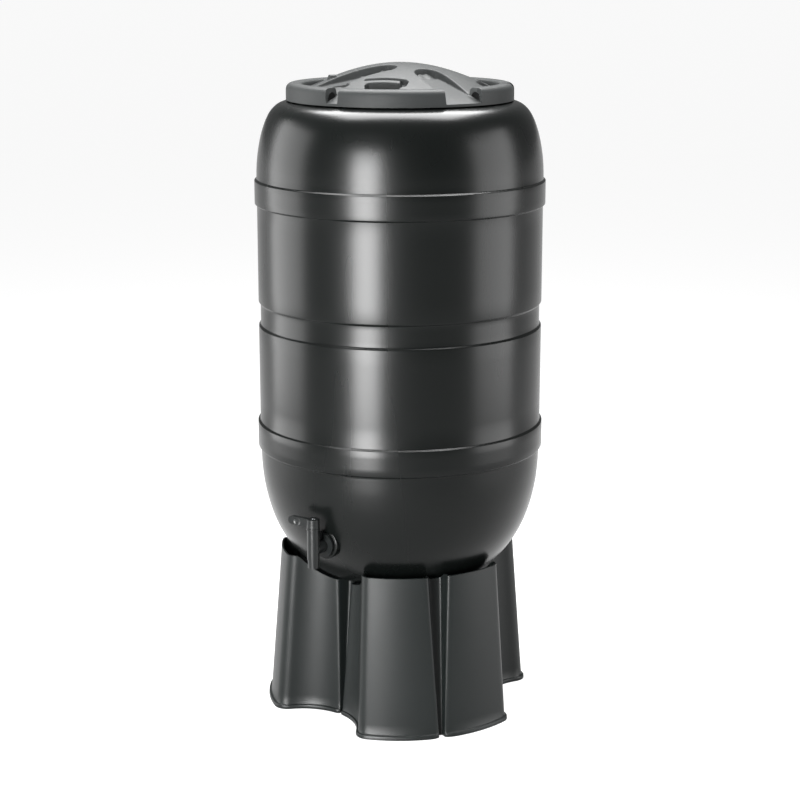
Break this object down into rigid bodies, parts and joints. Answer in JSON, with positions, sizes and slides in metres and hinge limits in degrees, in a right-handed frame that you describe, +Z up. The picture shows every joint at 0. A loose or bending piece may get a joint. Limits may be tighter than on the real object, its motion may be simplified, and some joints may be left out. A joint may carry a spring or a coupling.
{
  "type": "rain barrel",
  "caption": "Tall round plastic rain barrel with raised bands, a domed lift-off lid with grip recesses and a lid lock, a quarter-turn tap near the base, on a hollow three-lobed stand",
  "frame": {"origin": "centre of the stand's foot at floor level, on the barrel's axis", "axes": "+Z up along the barrel's axis, the tap points along -Y, +X to the right when facing the tap"},
  "size_m": [0.5799, 0.605, 1.3125],
  "materials": {
    "stand_plastic": "satin moulded",
    "barrel_plastic": "semi-gloss blow-moulded",
    "lid_plastic": "fine texture",
    "knob_plastic": "satin",
    "tap_plastic": "satin",
    "plug_plastic": "natural acetal",
    "seal_rubber": "matt",
    "screw_steel": "stainless"
  },
  "bodies": {
    "stand": {"stand": "stand_plastic"},
    "barrel": {"barrel_shell": "barrel_plastic", "tap_body": "tap_plastic", "tap_retaining_ring": "screw_steel", "tap_outer_washer": "seal_rubber", "tap_inner_washer": "seal_rubber", "tap_back_nut": "tap_plastic"},
    "lid": {"lid_cover": "lid_plastic"},
    "lid_lock": {"lid_lock_knob": "knob_plastic", "lid_lock_cam": "knob_plastic", "lid_lock_screw": "screw_steel"},
    "tap_lever": {"tap_lever": "tap_plastic", "tap_plug": "plug_plastic", "tap_plug_o_rings": "seal_rubber", "tap_lever_screw": "screw_steel"}
  },
  "joints": [
    {"name": "barrel_lift", "type": "slide", "parent": "stand", "child": "barrel", "axis": [0, 0, 1], "range_m": [0, 0.2]},
    {"name": "lid_lift", "type": "slide", "parent": "barrel", "child": "lid", "axis": [0, 0, 1], "range_m": [0, 0.15]},
    {"name": "lid_lock_turn", "type": "hinge", "parent": "lid", "child": "lid_lock", "pos_m": [-0.15679, 0.00822, 1.2725], "axis": [0, 0, 1], "range_deg": [0, 90]},
    {"name": "tap_lever_turn", "type": "hinge", "parent": "barrel", "child": "tap_lever", "pos_m": [0, -0.302, 0.44], "axis": [0, 0, 1], "range_deg": [0, 90]}
  ]
}
